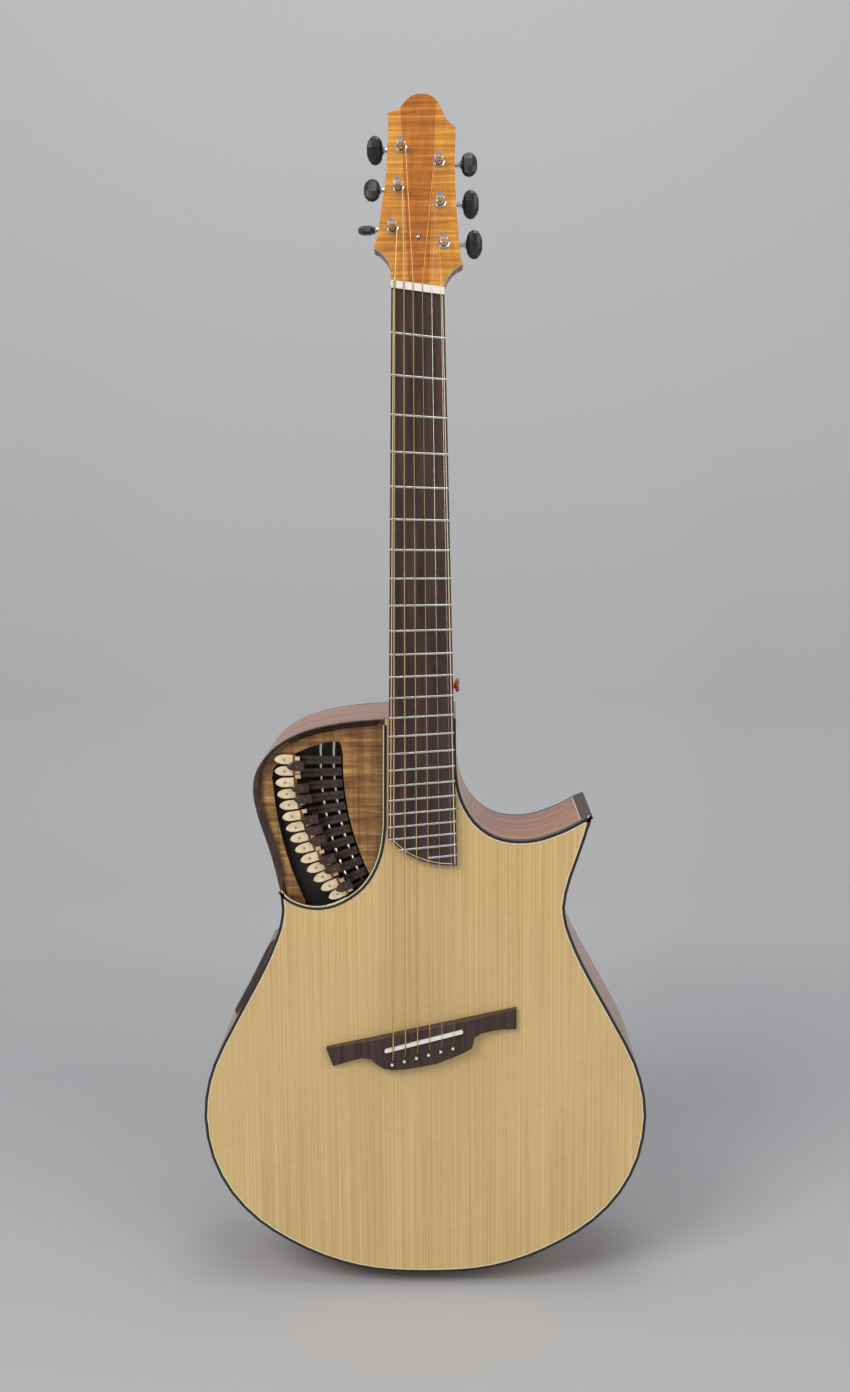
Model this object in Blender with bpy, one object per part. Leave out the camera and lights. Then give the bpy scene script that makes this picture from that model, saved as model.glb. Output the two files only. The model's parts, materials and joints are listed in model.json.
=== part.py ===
"""Steel-string guitar with a small thumb keyboard let into its bass shoulder.

X runs to the viewer's right, Y away from the viewer (the front faces -Y) and Z up along the neck.
The origin is on the centre line at the nut, where a wall hanger holds the head.
Sizes below are in millimetres, and heights on the body are measured up from its tail end.
"""

import math

import bmesh
import bpy
from mathutils import Matrix, Vector

MM = 0.001
GAP = 0.3  # clearance between touching pieces

# Body
NUT_UP = 872.0  # tail end of the body to the bass end of the nut
BODY_TOP = 510.5
TAIL_DEPTH = 122.0
NECK_DEPTH_LOSS = 25.0  # how much thinner the body is at the neck than at the tail
PLATE = 2.8  # soundboard and back thickness
WALL = 3.0  # rim thickness
NECK_EDGE = 29.6  # half the width of the body's end under the fingerboard

# Neck, fingerboard and strings
NUT_HALF = 21.9
BOARD_SPREAD = 0.0166  # how much half the fingerboard widens for each millimetre down
BOARD_FRONT = -6.3
BASS_NUT, TREBLE_NUT = 870.9, 864.8
NUT_THICKNESS = 6.4
HEAD_TILT = math.radians(14.0)
HEAD_UP = 874.0
VENEER_FRONT = -3.0
VENEER = 2.7
CORE_BACK = 15.0
SADDLE_FRONT = -11.8
BRIDGE_FRONT = -8.6
STRING_RADII = (0.67, 0.53, 0.4, 0.3, 0.21, 0.15)
STRING_NUT_HALF = 19.0
STRING_PIN_HALF = 26.9

# Tuning machines: post centre across and along the head, and how far the button is turned
LEFT_POSTS = ((-13.7, 118.0, -25.0), (-16.2, 83.2, 15.0), (-21.0, 48.2, 65.0))
RIGHT_POSTS = ((17.6, 104.8, 9.0), (18.7, 69.9, -25.0), (21.4, 35.0, -25.0))
POST_RADIUS = 3.0
POST_TOP = 16.5
WHEEL_RADIUS = 4.0
WORM_RADIUS = 1.6
WORM_OFFSET = 6.0  # worm axis above the post axis
WORM_DEPTH = 19.4  # worm axis behind the head's face
BUTTON_LENGTH, BUTTON_WIDTH, BUTTON_THICKNESS = 13.4, 24.0, 8.2
BASS_REACH, TREBLE_REACH = 15.9, 18.9  # post axis to the near end of the button

# Keyboard: levers lie along the spokes of a wheel centred to the right of them
FAN_ACROSS, FAN_UP = 169.0, 470.0
WINDOW_OUTER, WINDOW_INNER = 300.0, 238.0
PIVOT_RADIUS, GUIDE_RADIUS = 246.5, 258.0
ROD_RADIUS = 1.2
ROD_DEPTH = 13.2
ROD_CLEARANCE = 0.35
LEVER_TOP, LEVER_BOTTOM = 9.6, 16.0
LEVER_WIDTH = 3.3
LEVER_TAIL = 239.5
KEY_TRAVEL = math.radians(4.5)
WHITE_COUNT = 14
WHITE_FIRST, WHITE_PITCH = -1.0, 2.02  # degrees round the fan
LANE_FIRST, LANE_PITCH, LANE_PAIRING = -1.3, 1.218, 0.18
DARKS_AFTER = (0, 2, 3, 5, 6, 7, 9, 10, 12)  # white keys with a dark key on their lower side
WHITE_TOP, WHITE_BOTTOM = 1.0, 4.6
WHITE_HALF, WHITE_LENGTH, WHITE_HEEL = 4.1, 16.0, 2.6
DARK_TOP, DARK_BOTTOM = -5.5, -2.6
DARK_HALF, DARK_LENGTH = 4.0, 15.5
PANEL_FRONT, PANEL_BACK = 9.0, 11.5
BED_FRONT, BED_BACK = 20.0, 22.5

# Hand-picked points of the outlines, across and up
LOWER_BOUT = [
    (0, 0), (31, 0.9), (61, 5.2), (92, 14.8), (123, 30), (152, 50), (176, 77), (192, 110.5),
    (198, 149), (193.2, 184), (180, 217), (149, 274.5), (135.5, 302), (126.5, 326),
    (124.2, 342),
]
TREBLE_FLANK = [(124.2, 342), (126, 355), (130.2, 370.5), (136, 387), (142, 405), (147.5, 424)]
CUTAWAY = [
    (147.5, 424), (138, 420), (125.8, 413.4), (110, 407), (97.4, 403.6), (83.8, 402.6),
    (70, 404.4), (57.4, 409.8), (46, 419.6), (37.6, 432.8), (32.6, 446.8), (30.2, 463),
    (NECK_EDGE, 485), (NECK_EDGE, BODY_TOP),
]
BASS_SHOULDER = [
    (-NECK_EDGE - 0.2, BODY_TOP), (-51, 509.4), (-72, 507), (-92, 503), (-107, 498), (-120, 491.4),
    (-131, 483), (-140, 472), (-145.3, 461), (-147, 449), (-145.9, 436.5), (-141.6, 419),
    (-135.3, 400), (-129.2, 377), (-125.4, 358),
]
BASS_WAIST = [(-125.4, 358), (-124.2, 342)]
SCOOP = [
    (-125.4, 358), (-121.5, 352.8), (-115.1, 348.2), (-104.3, 344), (-90.9, 342.6), (-77.4, 345.3),
    (-63.9, 352.2), (-53, 361.1), (-44.8, 372.1), (-38.6, 385.9), (-35.1, 399.6), (-33.1, 416),
]
SCOOP_TOP = (-31.6, BODY_TOP)
WINDOW_TOP = [(-131.3, 457), (-129.8, 466), (-121, 474.6), (-110.8, 479), (-99.7, 483.8), (-86.4, 488)]
WINDOW_CORNER = [(-76.5, 489.8), (-72.2, 489.2), (-70.2, 486)]
BOARD_END = [(-15.3, 393.7), (-4.8, 388.2), (4.5, 385), (14.8, 382.8)]
BOARD_BASS_END, BOARD_TREBLE_END = 406.5, 381.9
HEAD_RIGHT = [
    (31.3, 84), (31.9, 73), (32.8, 55.3), (34.1, 37.5), (35.7, 21), (37.3, 17.4),
]
HEAD_RIGHT_EAR = [(37.3, 17.4), (32.5, 15), (28.5, 11.5), (25, 6.6), (22.6, 1.7)]
HEAD_LEFT_EAR = [(-22.5, 9.9), (-22.8, 15.5), (-24.2, 19.8), (-27.6, 24.8), (-31.7, 29.1), (-36.2, 31.6)]
HEAD_LEFT = [
    (-36.2, 31.6), (-34.1, 39), (-31.7, 52.5), (-29.3, 70.3), (-27.2, 84.8), (-25.4, 106.2),
    (-24.4, 127.7), (-24.4, 147.9),
]
HEAD_CROWN = [
    (-24.4, 147.9), (-19.9, 149.2), (-15, 151.4), (-11.6, 155.7), (-8.7, 159.2), (-5.3, 162.1),
    (-0.5, 163.8), (4.4, 164), (8.6, 163.5), (13.4, 161.1), (17.5, 156.7), (19.5, 152.4),
    (21.6, 146.6), (24.4, 141.5), (27.8, 137.5), (31.9, 135),
]
BRIDGE_FOOT = [  # lower edge of the bridge, left to right; its upper edge is straight
    (-86.8, 214.2), (-81.3, 198.3), (-70, 202), (-54.4, 207.2), (-47, 205.8), (-41.8, 201),
    (-36, 197.6), (-28, 196.2), (-17, 196.8), (-4, 199), (11.6, 202.2), (26, 208), (36.5, 212.6),
    (42.2, 216.2), (43.6, 220.5), (44.6, 226), (51, 229.8), (60, 231.6), (70, 232.5), (81.8, 232.4),
]
BRIDGE_TOP = ((-87.3, 215.7), (80.0, 251.7))
SADDLE_ENDS = ((-33.5, 215.2), (33.0, 232.6))
PIN_ENDS = ((-27.9, 204.0), (25.9, 218.9))


def clear_scene():
    for obj in list(bpy.data.objects):
        bpy.data.objects.remove(obj, do_unlink=True)


def finish(name, colour, roughness, metallic=0.0):
    made = bpy.data.materials.new(name)
    made.use_nodes = True
    shader = made.node_tree.nodes["Principled BSDF"]
    shader.inputs["Base Color"].default_value = (*colour, 1.0)
    shader.inputs["Roughness"].default_value = roughness
    shader.inputs["Metallic"].default_value = metallic
    return made


def on_body(across, up, depth):
    """A point of the body, neck or strings, in metres."""
    return Vector((across * MM, depth * MM, (up - NUT_UP) * MM))


def on_head(across, along, depth):
    """A point of the head: along its tilted face from the nut, and behind that face."""
    up = HEAD_UP + along * math.cos(HEAD_TILT) - depth * math.sin(HEAD_TILT)
    back = VENEER_FRONT + along * math.sin(HEAD_TILT) + depth * math.cos(HEAD_TILT)
    return on_body(across, up, back)


def on_fan(degrees, radius):
    """Across and up of a point of the keyboard's fan."""
    turn = math.radians(degrees)
    return (FAN_ACROSS - radius * math.cos(turn), FAN_UP - radius * math.sin(turn))


def smooth(points, steps):
    """A Catmull-Rom curve through the points, with steps stretches between each two of them."""
    ends = [points[0]] + list(points) + [points[-1]]
    curve = []
    for a, b, c, d in zip(ends, ends[1:], ends[2:], ends[3:]):
        for step in range(steps):
            t = step / steps
            curve.append(tuple(
                0.5 * (2 * q + (r - p) * t + (2 * p - 5 * q + 4 * r - s) * t**2
                       + (3 * q - p - 3 * r + s) * t**3)
                for p, q, r, s in zip(a, b, c, d)
            ))
    curve.append(tuple(points[-1]))
    return curve


def mirrored(points):
    return [(-across, up) for across, up in reversed(points)]


def area(loop):
    pairs = zip(loop, loop[1:] + loop[:1])
    return 0.5 * sum(a[0] * b[1] - b[0] * a[1] for a, b in pairs)


def inset(loop, amounts):
    """The loop moved inwards, by one amount or by one for each point."""
    if not isinstance(amounts, (list, tuple)):
        amounts = [amounts] * len(loop)
    side = 1.0 if area(loop) > 0 else -1.0
    moved = []
    for before, here, after, amount in zip(loop[-1:] + loop[:-1], loop, loop[1:] + loop[:1], amounts):
        into = (Vector(here) - Vector(before)).normalized()
        out = (Vector(after) - Vector(here)).normalized()
        normal = (into.orthogonal() + out.orthogonal()) * 0.5 * side
        stretch = max(normal.length_squared, 0.12)
        point = Vector(here) + normal * (amount / stretch)
        moved.append((point.x, point.y))
    return moved


def depth_at(up):
    """Depth of the flat back behind the soundboard's face."""
    return TAIL_DEPTH - NECK_DEPTH_LOSS * up / BODY_TOP


def board_half(up):
    return NUT_HALF + (NUT_UP - up) * BOARD_SPREAD


def between(a, b, share):
    return tuple(p + (q - p) * share for p, q in zip(a, b))


def make_object(name, mesh_maker, material):
    """An object from a bmesh, closed up with its faces pointing out."""
    bmesh.ops.recalc_face_normals(mesh_maker, faces=mesh_maker.faces[:])
    mesh = bpy.data.meshes.new(name)
    mesh_maker.to_mesh(mesh)
    mesh_maker.free()
    mesh.materials.append(material)
    obj = bpy.data.objects.new(name, mesh)
    bpy.context.scene.collection.objects.link(obj)
    return obj


def loop_of(maker, points):
    return [maker.verts.new(point) for point in points]


def bridge(maker, first, second):
    """A band of four-sided faces between two closed loops of vertices."""
    for i in range(len(first)):
        j = (i + 1) % len(first)
        maker.faces.new((first[i], first[j], second[j], second[i]))


def plate(name, outline, front, back, material, place=on_body):
    """A board from an outline, between two depths or two rules for depth."""
    front_at = front if callable(front) else lambda across, up: front
    back_at = back if callable(back) else lambda across, up: back
    maker = bmesh.new()
    maker.faces.new([maker.verts.new((across, 0.0, up)) for across, up in outline])
    maker.normal_update()
    bmesh.ops.triangulate(maker, faces=maker.faces[:], ngon_method="BEAUTY")
    faces = [[vert for vert in face.verts] for face in maker.faces]
    border = [edge for edge in maker.edges if edge.is_boundary]
    behind = {vert: maker.verts.new(vert.co) for vert in maker.verts[:]}
    for corners in faces:
        maker.faces.new([behind[vert] for vert in reversed(corners)])
    for edge in border:
        a, b = edge.verts
        maker.faces.new((a, b, behind[b], behind[a]))
    for vert, copy in behind.items():
        across, up = vert.co.x, vert.co.z
        vert.co = place(across, up, front_at(across, up))
        copy.co = place(across, up, back_at(across, up))
    return make_object(name, maker, material)


def loft(name, sections, material):
    """A solid through closed sections of equal count, with flat ends."""
    maker = bmesh.new()
    loops = [loop_of(maker, section) for section in sections]
    for first, second in zip(loops, loops[1:]):
        bridge(maker, first, second)
    maker.faces.new(loops[0])
    maker.faces.new(list(reversed(loops[-1])))
    return make_object(name, maker, material)


def turned(name, profile, start, axis, material, sides=8):
    """A solid turned round an axis: profile gives distance along it and radius, in millimetres."""
    axis = axis.normalized()
    aside = axis.orthogonal().normalized()
    other = axis.cross(aside)
    sections = []
    for along, radius in profile:
        centre = start + axis * (along * MM)
        turns = [2 * math.pi * i / sides for i in range(sides)]
        sections.append(
            [centre + (aside * math.cos(t) + other * math.sin(t)) * (radius * MM) for t in turns])
    obj = loft(name, sections, material)
    obj.data.shade_smooth()
    obj.data.set_sharp_from_angle(angle=math.radians(35))
    return obj


def block(name, low, high, material, place=on_body):
    outline = [(low[0], low[1]), (high[0], low[1]), (high[0], high[1]), (low[0], high[1])]
    return plate(name, outline, low[2], high[2], material, place)


def boolean(target, helper, operation):
    """Joins or cuts the target with a helper, which is hidden."""
    helper.hide_render = True
    helper.display_type = "WIRE"
    modifier = target.modifiers.new(helper.name, "BOOLEAN")
    modifier.operation = operation
    modifier.object = helper
    return target


def set_origin(obj, point, turn=None):
    """Moves the object's origin to the point, leaving its shape where it is."""
    frame = Matrix.Translation(point)
    if turn is not None:
        frame = frame @ turn
    obj.data.transform(frame.inverted())
    obj.matrix_world = frame
    return obj


def body_outline():
    lower = smooth(LOWER_BOUT, 2)
    flank = smooth(TREBLE_FLANK, 1)
    cutaway = smooth(CUTAWAY, 2)
    shoulder = smooth(BASS_SHOULDER, 2)
    return lower + flank[1:] + cutaway[1:] + shoulder + mirrored(lower)[:-1]


def soundboard_outline():
    lower = smooth(LOWER_BOUT, 2)
    scoop = smooth(SCOOP, 2)
    return (lower + smooth(TREBLE_FLANK, 1)[1:] + smooth(CUTAWAY, 2)[1:] + [SCOOP_TOP]
            + list(reversed(scoop)) + mirrored(lower)[:-1])


def well_outline():
    """The keyboard's well: the body's edge round the shoulder, then the scoop in the soundboard."""
    shoulder = [SCOOP_TOP, (-34.5, 510.4), (-40, 510.2)] + smooth(BASS_SHOULDER, 2)[2:]
    return shoulder + smooth(SCOOP, 2)[1:]


def make_body(spruce, mahogany, dark):
    outline = body_outline()
    plate("soundboard", soundboard_outline(), 0.0, PLATE, spruce)
    plate("back", outline, lambda x, up: depth_at(up) - PLATE, lambda x, up: depth_at(up), mahogany)
    rim_front = PLATE + GAP
    inner = inset(outline, WALL)
    maker = bmesh.new()
    loops = [
        loop_of(maker, [on_body(x, up, rim_front) for x, up in outline]),
        loop_of(maker, [on_body(x, up, depth_at(up) - PLATE - 2 * GAP) for x, up in outline]),
        loop_of(maker, [on_body(x, up, depth_at(up) - PLATE - 2 * GAP) for x, up in inner]),
        loop_of(maker, [on_body(x, up, rim_front) for x, up in inner]),
    ]
    for first, second in zip(loops, loops[1:] + loops[:1]):
        bridge(maker, first, second)
    rim = make_object("rim", maker, mahogany)
    neck_block = block("neck_block", (-27, 472, 13), (27, BODY_TOP - 1.2, 90), mahogany)
    tail_block = block("tail_block", (-26, 1.2, 4), (26, 22, 117), mahogany)
    boolean(rim, neck_block, "UNION")
    boolean(rim, tail_block, "UNION")
    make_braces(spruce)
    make_side_plate(dark)
    return rim


def bar(name, start, end, width, front, back, material):
    """A straight bar between two points of the body."""
    along = (Vector(end) - Vector(start)).normalized()
    across = Vector((-along.y, along.x)) * (width / 2)
    corners = [Vector(start) + across, Vector(start) - across, Vector(end) - across, Vector(end) + across]
    return plate(name, [(c.x, c.y) for c in corners], front, back, material)


def make_braces(spruce):
    """The crossed bars under the soundboard with the plate that the ball ends bear on."""
    top = PLATE + GAP
    braces = bar("braces", (-150, 112), (84, 388), 8.0, top, 17.0, spruce)
    second = bar("brace_two", (150, 112), (-38, 318), 8.0, top + 0.05, 16.2, spruce)
    bearing = bar("bridge_plate", (-62, 201), (60, 230), 34.0, top + 0.1, 6.2, spruce)
    boolean(braces, second, "UNION")
    boolean(braces, bearing, "UNION")


def make_side_plate(dark):
    """A slim control plate that lies on the bass side at the waist."""
    edge = [(-131.9, 310.5), (-135.5, 302), (-149, 274.5), (-164, 247), (-167.6, 240.4)]
    edge = [(x - 0.5, up) for x, up in edge]
    outer = [(-169.6, 245.5), (-155.6, 271), (-141.2, 299.5), (-136.2, 308.2)]
    plate("side_plate", edge + outer, 12.0, 46.0, dark)


def make_well(rosewood, koa):
    """The bezel round the well and the figured panel on its floor."""
    path = well_outline()
    corner = len(path) - len(smooth(SCOOP, 2))
    wide = [(0, 0), (1.2, 0), (6.3, 4.5), (6.3, PANEL_FRONT - GAP),
            (3.6, PANEL_FRONT - GAP), (3.6, PLATE), (0, PLATE)]
    low = [(0, 0), (1.2, 0), (4.4, 2.2), (4.4, PLATE), (4.0, PLATE), (3.6, PLATE), (0, PLATE)]
    slim = [(GAP, 0), (0.9, 0), (2.0, 0.8), (2.0, 2.5), (1.6, PLATE), (1.0, PLATE), (GAP, PLATE)]
    on_rim = [1 <= i < corner for i in range(len(path))]
    sections = [low if i in (1, corner - 1) else wide if on_rim[i] else slim for i in range(len(path))]
    maker = bmesh.new()
    loops = []
    for layer in range(len(wide)):
        chosen = [section[layer] for section in sections]
        moved = inset(path, [c[0] for c in chosen])
        loops.append(loop_of(maker, [on_body(x, up, c[1]) for (x, up), c in zip(moved, chosen)]))
    for first, second in zip(loops, loops[1:] + loops[:1]):
        bridge(maker, first, second)
    make_object("well_bezel", maker, rosewood)
    edge = inset(path, [WALL + 0.6 if flag else -1.6 for flag in on_rim])
    outer_arc = [on_fan(24.4 - 3.0 * i, WINDOW_OUTER) for i in range(8)]
    inner_arc = [on_fan(-1.9 + 2.7 * i, WINDOW_INNER) for i in range(11)]
    left_foot = [(-121.0, 356.5), (-119.8, 351.0)] + edge[corner + 4:corner + 7]
    plate("key_panel", edge[corner + 16:] + [(-30.2, 506.6)] + edge[1:corner - 1] + left_foot
          + outer_arc + WINDOW_TOP + WINDOW_CORNER + inner_arc, PANEL_FRONT, PANEL_BACK, koa)


def bent_rod(name, radius, start, end, material, steps=11, sides=6):
    """A rod bent round the fan's centre."""
    sections = []
    for i in range(steps + 1):
        degrees = start + (end - start) * i / steps
        section = []
        for k in range(sides):
            turn = 2 * math.pi * (k + 0.5) / sides
            across, up = on_fan(degrees, radius + ROD_RADIUS * math.cos(turn))
            section.append(on_body(across, up, ROD_DEPTH + ROD_RADIUS * math.sin(turn)))
        sections.append(section)
    return loft(name, sections, material)


def make_key_frame(steel):
    """The bed under the levers, and above it the two bent rods that they hang on, between two ends."""
    left = [on_fan(2.0 + 2.9 * i, WINDOW_OUTER + 3) for i in range(10)]
    right = [on_fan(28.4 - 3.4 * i, WINDOW_INNER - 3) for i in range(11)]
    plate("key_bed", left + right + [(-98, 497), (-112, 485.5), (-130, 473.5)], BED_FRONT, BED_BACK, steel)
    first, last = -5.6, 26.8
    ends = []
    for label, degrees in (("upper", first), ("lower", last)):
        corners = [on_fan(degrees, 262), on_fan(degrees + 0.8, 262), on_fan(degrees + 0.8, 242),
                   on_fan(degrees, 242)]
        name = "key_rods" if label == "upper" else "lower_rod_end"
        ends.append(plate(name, corners, PANEL_BACK + GAP, BED_FRONT - GAP, steel))
    boolean(ends[0], ends[1], "UNION")
    for label, radius in (("pivot", PIVOT_RADIUS), ("guide", GUIDE_RADIUS)):
        rod = bent_rod(f"{label}_rod", radius, first + 0.35, last + 0.45, steel)
        boolean(ends[0], rod, "UNION")


def key_lanes():
    """For each key from the top: its name, lane and cap angles, cap tip radius and whether it is dark."""
    order = []
    for white in range(WHITE_COUNT):
        share = white / (WHITE_COUNT - 1)
        order.append(("white", white, WHITE_FIRST + WHITE_PITCH * white, 297.2 - 18.8 * share**2.2))
        if white in DARKS_AFTER:
            angle = WHITE_FIRST + WHITE_PITCH * (white + 0.5)
            share = (white + 0.5) / (WHITE_COUNT - 1)
            tip = 297.2 - 18.8 * share**2.2 - 10.6 - 5.4 * math.sin(math.pi * share)
            order.append(("dark", DARKS_AFTER.index(white), angle, tip))
    keys = []
    for lane, (kind, number, angle, tip) in enumerate(order):
        pairing = LANE_PAIRING if lane % 2 == 0 else -LANE_PAIRING
        keys.append((f"key_{lane + 1:02d}_{kind}", LANE_FIRST + LANE_PITCH * lane + pairing, angle, tip))
    return keys


def along_spoke(degrees, lateral):
    """Rule that places a side profile (radius, depth) beside a spoke of the fan."""
    def place(radius, depth, _):
        across, up = on_fan(degrees, radius)
        turn = math.radians(degrees)
        return on_body(across + lateral * math.sin(turn), up - lateral * math.cos(turn), depth)
    return place


def spoke_solid(name, degrees, profile, half, material):
    """A side profile pushed out to both sides of a spoke."""
    sections = [[along_spoke(degrees, side)(r, d, 0) for r, d in profile] for side in (-half, half)]
    return loft(name, sections, material)


def cap_solid(name, degrees, layers, material):
    """A key cap: layers of half outlines (distance from the tip, half width) with their depths."""
    sections = []
    for tip, depth, half_outline in layers:
        loop = [(a, b) for a, b in half_outline] + [(a, -b) for a, b in reversed(half_outline) if b > 0]
        sections.append([along_spoke(degrees, b)(tip - a, depth, 0) for a, b in loop])
    return loft(name, sections, material)


def make_keys(bone, rosewood):
    for name, lane, angle, tip in key_lanes():
        dark = name.endswith("dark")
        material = rosewood if dark else bone
        if dark:
            rear = tip - DARK_LENGTH
            stem = (rear + 0.5, min(rear + 5.5, rear + 4.6 + 0.07 * (tip - 268.0)))
            stem_top = DARK_BOTTOM - 0.8
            nose = [(0, 0), (1.4, 2.0), (3.6, 3.3), (6.5, DARK_HALF), (DARK_LENGTH, DARK_HALF)]
            blunt = [(3.0, 0), (3.8, 1.5), (5.2, 2.7), (7.2, 3.5), (DARK_LENGTH - 0.4, 3.5)]
            layers = [(tip, DARK_BOTTOM, nose), (tip, DARK_TOP + 1.0, nose), (tip, DARK_TOP, blunt)]
        else:
            rear = tip - WHITE_LENGTH
            stem = (rear - 6.0, rear - 1.0)
            stem_top = WHITE_BOTTOM - 0.8
            bullet = [(0, 0), (0.9, 1.5), (2.6, 2.8), (5.0, 3.7), (8.0, WHITE_HALF), (WHITE_LENGTH, WHITE_HALF)]
            heel = bullet[:-1] + [(WHITE_LENGTH + WHITE_HEEL, WHITE_HALF - 0.5)]
            face = [(0.8, 0), (1.5, 1.2), (3.0, 2.4), (5.2, 3.2), (8.1, 3.6), (WHITE_LENGTH, 3.6)]
            layers = [(tip, WHITE_BOTTOM, heel), (tip, WHITE_TOP + 0.6, bullet), (tip, WHITE_TOP, face)]
        profile = [(LEVER_TAIL, LEVER_TOP), (stem[0], LEVER_TOP), (stem[0], stem_top),
                   (stem[1], stem_top), (stem[1], LEVER_BOTTOM), (LEVER_TAIL, LEVER_BOTTOM)]
        key = spoke_solid(name, lane, profile, LEVER_WIDTH / 2, material)
        cap = cap_solid(f"{name}_cap", angle, layers, material)
        hole = ROD_RADIUS + ROD_CLEARANCE
        drop = (GUIDE_RADIUS - PIVOT_RADIUS) * math.sin(KEY_TRAVEL) + 0.1
        cutters = []
        for label, radius, rise in (("pivot", PIVOT_RADIUS, 0.0), ("guide", GUIDE_RADIUS, drop)):
            ring = []
            for i in range(8):
                turn = math.radians(22.5 + 45 * i)
                high = rise if math.sin(turn) > 0 else 0.0
                reach = hole / math.cos(math.radians(22.5))
                ring.append((radius + reach * math.cos(turn), ROD_DEPTH - reach * math.sin(turn) - high))
            cutters.append(spoke_solid(f"{name}_{label}_hole", lane, ring, LEVER_WIDTH, material))
        for cutter in cutters:
            boolean(key, cutter, "DIFFERENCE")
        boolean(key, cap, "UNION")
        across, up = on_fan(lane, PIVOT_RADIUS)
        set_origin(key, on_body(across, up, ROD_DEPTH))


def neck_section(up, half, depth, points=10):
    section = []
    for i in range(points + 1):
        turn = math.pi * i / points
        cosine, sine = math.cos(turn), math.sin(turn)
        across = half * math.copysign(abs(cosine) ** 0.9, cosine)
        section.append(on_body(across, up, depth * abs(sine) ** 0.9))
    return section


def make_neck(mahogany, koa):
    """The neck with its heel, the head's core behind the figured face, and that face."""
    depths = [
        (BODY_TOP + GAP, 92), (517, 90.5), (523, 86), (531, 77), (539, 65), (549, 49), (560, 34),
        (572, 24), (585, 18.5), (600, 16.5), (HEAD_UP - 0.4, 13.6),
    ]
    sections = [neck_section(up, board_half(min(up, NUT_UP)) - 0.3, depth) for up, depth in depths]
    neck = loft("neck", sections, mahogany)
    neck.data.shade_smooth()
    neck.data.set_sharp_from_angle(angle=math.radians(40))
    face = head_outline(4.4, -1.9)
    core = plate("head_core", head_outline(0.6, 0.6), VENEER + GAP, CORE_BACK, mahogany, on_head)
    boolean(neck, core, "UNION")
    for side, posts in (("bass", LEFT_POSTS), ("treble", RIGHT_POSTS)):
        for number, (across, along, _) in enumerate(posts, 1):
            hole = turned(f"{side}_post_hole_{number}", [(-4, 4.8), (CORE_BACK + 4, 4.8)],
                          on_head(across, along, 0), head_normal() * -1, mahogany, 14)
            boolean(neck, hole, "DIFFERENCE")
    veneer = plate("head_plate", face, 0.0, VENEER, koa, on_head)
    for side, posts in (("bass", LEFT_POSTS), ("treble", RIGHT_POSTS)):
        for number, (across, along, _) in enumerate(posts, 1):
            hole = turned(f"{side}_face_hole_{number}", [(-4, 4.8), (8, 4.8)],
                          on_head(across, along, 0), head_normal() * -1, koa, 14)
            boolean(veneer, hole, "DIFFERENCE")


def head_outline(bass_end, treble_end):
    """The head's outline, with the height of its lower edge at each side."""
    return ([(22.0, treble_end)] + list(reversed(HEAD_RIGHT_EAR))[1 if treble_end > 1 else 0:]
            + list(reversed(HEAD_RIGHT))[1:] + [(30.9, 105.6), (31.2, 120)]
            + list(reversed(HEAD_CROWN)) + list(reversed(HEAD_LEFT))[1:]
            + list(reversed(HEAD_LEFT_EAR))[1:] + [(-22.2, bass_end)])


def head_normal():
    """Out of the head's face, towards the viewer."""
    return Vector((0.0, -math.cos(HEAD_TILT), math.sin(HEAD_TILT)))


def make_fingerboard(rosewood, bone):
    end = smooth([(-board_half(BOARD_BASS_END), BOARD_BASS_END)] + BOARD_END
                 + [(board_half(BOARD_TREBLE_END), BOARD_TREBLE_END)], 2)
    outline = [(-NUT_HALF, BASS_NUT)] + end + [(NUT_HALF, TREBLE_NUT)]
    plate("fingerboard", outline, BOARD_FRONT, -GAP, rosewood)
    lift = 0.2
    bar_outline = [(-22.0, BASS_NUT + lift), (22.0, TREBLE_NUT + lift),
                   (22.0, TREBLE_NUT + NUT_THICKNESS), (-22.0, BASS_NUT + NUT_THICKNESS)]
    nut = plate("nut", bar_outline, -8.6, -GAP, bone)
    bevel = nut.modifiers.new("rounded edges", "BEVEL")
    bevel.width = 0.5 * MM
    bevel.segments = 1


def bridge_front(across, up):
    """Front of the bridge: thick behind the saddle, thinning along the wings."""
    share = min(max((abs(across) - 42.0) / 40.0, 0.0), 1.0)
    return BRIDGE_FRONT + 4.4 * share * share * (3 - 2 * share)


def rounded_bar(start, end, half, points=5):
    """Outline of a bar with round ends."""
    along = (Vector(end) - Vector(start)).normalized()
    turn = math.atan2(along.y, along.x)
    outline = []
    for centre, facing in ((end, turn), (start, turn + math.pi)):
        for i in range(points):
            angle = facing - math.pi / 2 + math.pi * i / (points - 1)
            outline.append((centre[0] + half * math.cos(angle), centre[1] + half * math.sin(angle)))
    return outline


def make_bridge(rosewood, bone):
    (left, left_up), (right, right_up) = BRIDGE_TOP
    sections = []
    for across, up in BRIDGE_FOOT:
        top = left_up + (right_up - left_up) * (across - left) / (right - left)
        front = bridge_front(across, up)
        corners = [(up, front + 0.8), (up + 0.8, front), (top - 0.8, front), (top, front + 0.8),
                   (top, -GAP), (up, -GAP)]
        if across == BRIDGE_FOOT[0][0]:
            corners = [(up + (top - up) * share, depth) for share, (_, depth)
                       in zip((0.0, 0.3, 0.7, 1.0, 1.0, 0.0), corners)]
        sections.append([on_body(across, high, depth) for high, depth in corners])
    loft("bridge", sections, rosewood)
    plate("saddle", rounded_bar(*SADDLE_ENDS, 1.5), SADDLE_FRONT, BRIDGE_FRONT - GAP, bone)


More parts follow.
